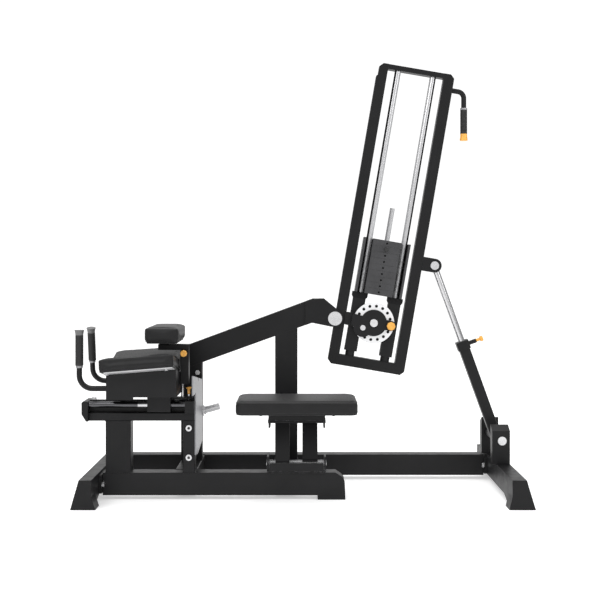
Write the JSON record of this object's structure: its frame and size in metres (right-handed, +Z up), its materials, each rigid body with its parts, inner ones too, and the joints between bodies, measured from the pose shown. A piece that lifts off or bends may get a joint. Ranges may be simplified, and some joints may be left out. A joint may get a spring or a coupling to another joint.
{
  "type": "weight-stack kneeling leg machine",
  "caption": "Kneeling strength machine: sliding forearm and chest rests, height-adjustable bench, and a tilting weight tower with an index disc on a telescopic strut.",
  "frame": {"origin": "on the floor, under the middle of the machine's outer size", "axes": "+X along the machine from the forearm rests to the strut, +Y away from the user's side, +Z up"},
  "size_m": [1.991, 0.95, 2.0078],
  "materials": {
    "black_coat": "satin powder coat",
    "upholstery": "matt vinyl",
    "grip_foam": "matt ribbed grip",
    "bright_chrome": "polished",
    "zinc": "zinc plated",
    "silver_plate": "satin",
    "plate_iron": "satin black",
    "amber_knob": "satin amber",
    "trim_grey": "satin"
  },
  "bodies": {
    "frame": {"left_foot": "black_coat", "right_foot": "black_coat", "near_rail": "black_coat", "far_rail": "black_coat", "rail_flanges": "black_coat", "cross_ties": "black_coat", "frame_posts": "black_coat", "boom": "black_coat", "boom_cheeks": "black_coat", "pivot_pins": "zinc", "strut_stand": "black_coat", "slide_beam": "black_coat", "rod_brackets": "black_coat", "slide_rods": "bright_chrome", "index_bar": "black_coat", "side_gusset": "silver_plate", "storage_peg": "bright_chrome", "frame_bolts": "zinc", "bench_base": "black_coat"},
    "bench_front_link": {"bench_front_link": "black_coat"},
    "bench_rear_link": {"bench_rear_link": "black_coat"},
    "seat": {"bench_top_bracket": "black_coat", "bench_top_pins": "zinc", "bench_cushion": "upholstery"},
    "carriage": {"carriage_block": "black_coat", "pad_housing": "black_coat", "pad_boards": "silver_plate", "forearm_cushions": "upholstery", "forearm_handles": "black_coat", "handle_grips": "grip_foam", "handle_trim": "trim_grey", "post_socket": "black_coat", "lock_plate": "black_coat", "pad_bolts": "zinc"},
    "carriage_lock": {"carriage_lock_pin": "amber_knob"},
    "chest_rest": {"chest_post": "black_coat", "chest_board": "black_coat", "chest_cushion": "upholstery"},
    "chest_lock": {"chest_lock_pin": "amber_knob"},
    "tower": {"left_column": "black_coat", "right_column": "black_coat", "tower_bars": "black_coat", "guide_rods": "bright_chrome", "stack_risers": "black_coat", "resting_plates": "plate_iron", "disc_mount": "black_coat", "strut_ears": "black_coat", "strut_top_pin": "zinc", "tower_handle": "black_coat", "tower_grip": "grip_foam", "tower_grip_trim": "amber_knob"},
    "stack": {"lifted_plates": "plate_iron", "selector_rod": "bright_chrome"},
    "stack_pin": {"selector_pin": "zinc"},
    "disc": {"index_disc": "silver_plate"},
    "swing": {"swing_plate": "black_coat"},
    "swing_lock": {"swing_lock_pin": "amber_knob"},
    "strut_lower": {"strut_tube": "black_coat"},
    "strut_upper": {"strut_rod": "bright_chrome"},
    "strut_lock": {"strut_lock_pin": "amber_knob"}
  },
  "joints": [
    {"name": "bench_front_swing", "type": "hinge", "parent": "frame", "child": "bench_front_link", "pos_m": [-0.0915, -0.25, 0.158], "axis": [1, 0, 0], "range_deg": [-25, 15]},
    {"name": "bench_rear_swing", "type": "hinge", "parent": "frame", "child": "bench_rear_link", "pos_m": [0.032, -0.2, 0.158], "axis": [1, 0, 0], "range_deg": [-25, 15]},
    {"name": "seat_level", "type": "hinge", "parent": "bench_front_link", "child": "seat", "pos_m": [-0.0915, -0.18449, 0.338], "axis": [1, 0, 0], "range_deg": [-15, 25]},
    {"name": "carriage_slide", "type": "slide", "parent": "frame", "child": "carriage", "axis": [1, 0, 0], "range_m": [-0.2, 0]},
    {"name": "carriage_lock_pull", "type": "slide", "parent": "carriage", "child": "carriage_lock", "axis": [0, 0, 1], "range_m": [-0.008, 0.012]},
    {"name": "chest_lift", "type": "slide", "parent": "carriage", "child": "chest_rest", "axis": [0, 0, 1], "range_m": [0, 0.08]},
    {"name": "chest_lock_pull", "type": "slide", "parent": "carriage", "child": "chest_lock", "axis": [0, -1, 0], "range_m": [-0.008, 0.012]},
    {"name": "tower_tilt", "type": "hinge", "parent": "frame", "child": "tower", "pos_m": [0.15302, 0.08, 0.7936], "axis": [0, -1, 0], "range_deg": [-12, 9]},
    {"name": "stack_lift", "type": "slide", "parent": "tower", "child": "stack", "axis": [0.1687, 0, 0.9857], "range_m": [0, 0.288]},
    {"name": "stack_pin_pull", "type": "slide", "parent": "stack", "child": "stack_pin", "axis": [0, -1, 0], "range_m": [0, 0.06]},
    {"name": "disc_turn", "type": "hinge", "parent": "tower", "child": "disc", "pos_m": [0.33518, 0.08, 0.77318], "axis": [0, -1, 0], "range_deg": [0, 110.1]},
    {"name": "swing_turn", "type": "hinge", "parent": "disc", "child": "swing", "pos_m": [0.33518, 0.08, 0.77318], "axis": [0, -1, 0], "range_deg": [-90, 90]},
    {"name": "swing_lock_pull", "type": "slide", "parent": "swing", "child": "swing_lock", "axis": [0, -1, 0], "range_m": [-0.008, 0.012]},
    {"name": "strut_swing", "type": "hinge", "parent": "frame", "child": "strut_lower", "pos_m": [0.92, 0.08, 0.235], "axis": [0, -1, 0], "range_deg": [-1, 1]},
    {"name": "strut_extend", "type": "slide", "parent": "strut_lower", "child": "strut_upper", "axis": [-0.3404, 0, 0.9403], "range_m": [-0.112, 0.085]},
    {"name": "strut_lock_pull", "type": "slide", "parent": "strut_lower", "child": "strut_lock", "axis": [0.9403, 0, 0.3404], "range_m": [-0.008, 0.014]}
  ],
  "couplings": [
    {"joint": "bench_rear_swing", "follows": "bench_front_swing", "ratio": 1},
    {"joint": "seat_level", "follows": "bench_front_swing", "ratio": -1},
    {"joint": "disc_turn", "follows": "stack_lift", "rad_per_m": 6.6667},
    {"joint": "strut_swing", "follows": "tower_tilt", "ratio": 0.07},
    {"joint": "strut_extend", "follows": "tower_tilt", "m_per_rad": 0.5243}
  ]
}
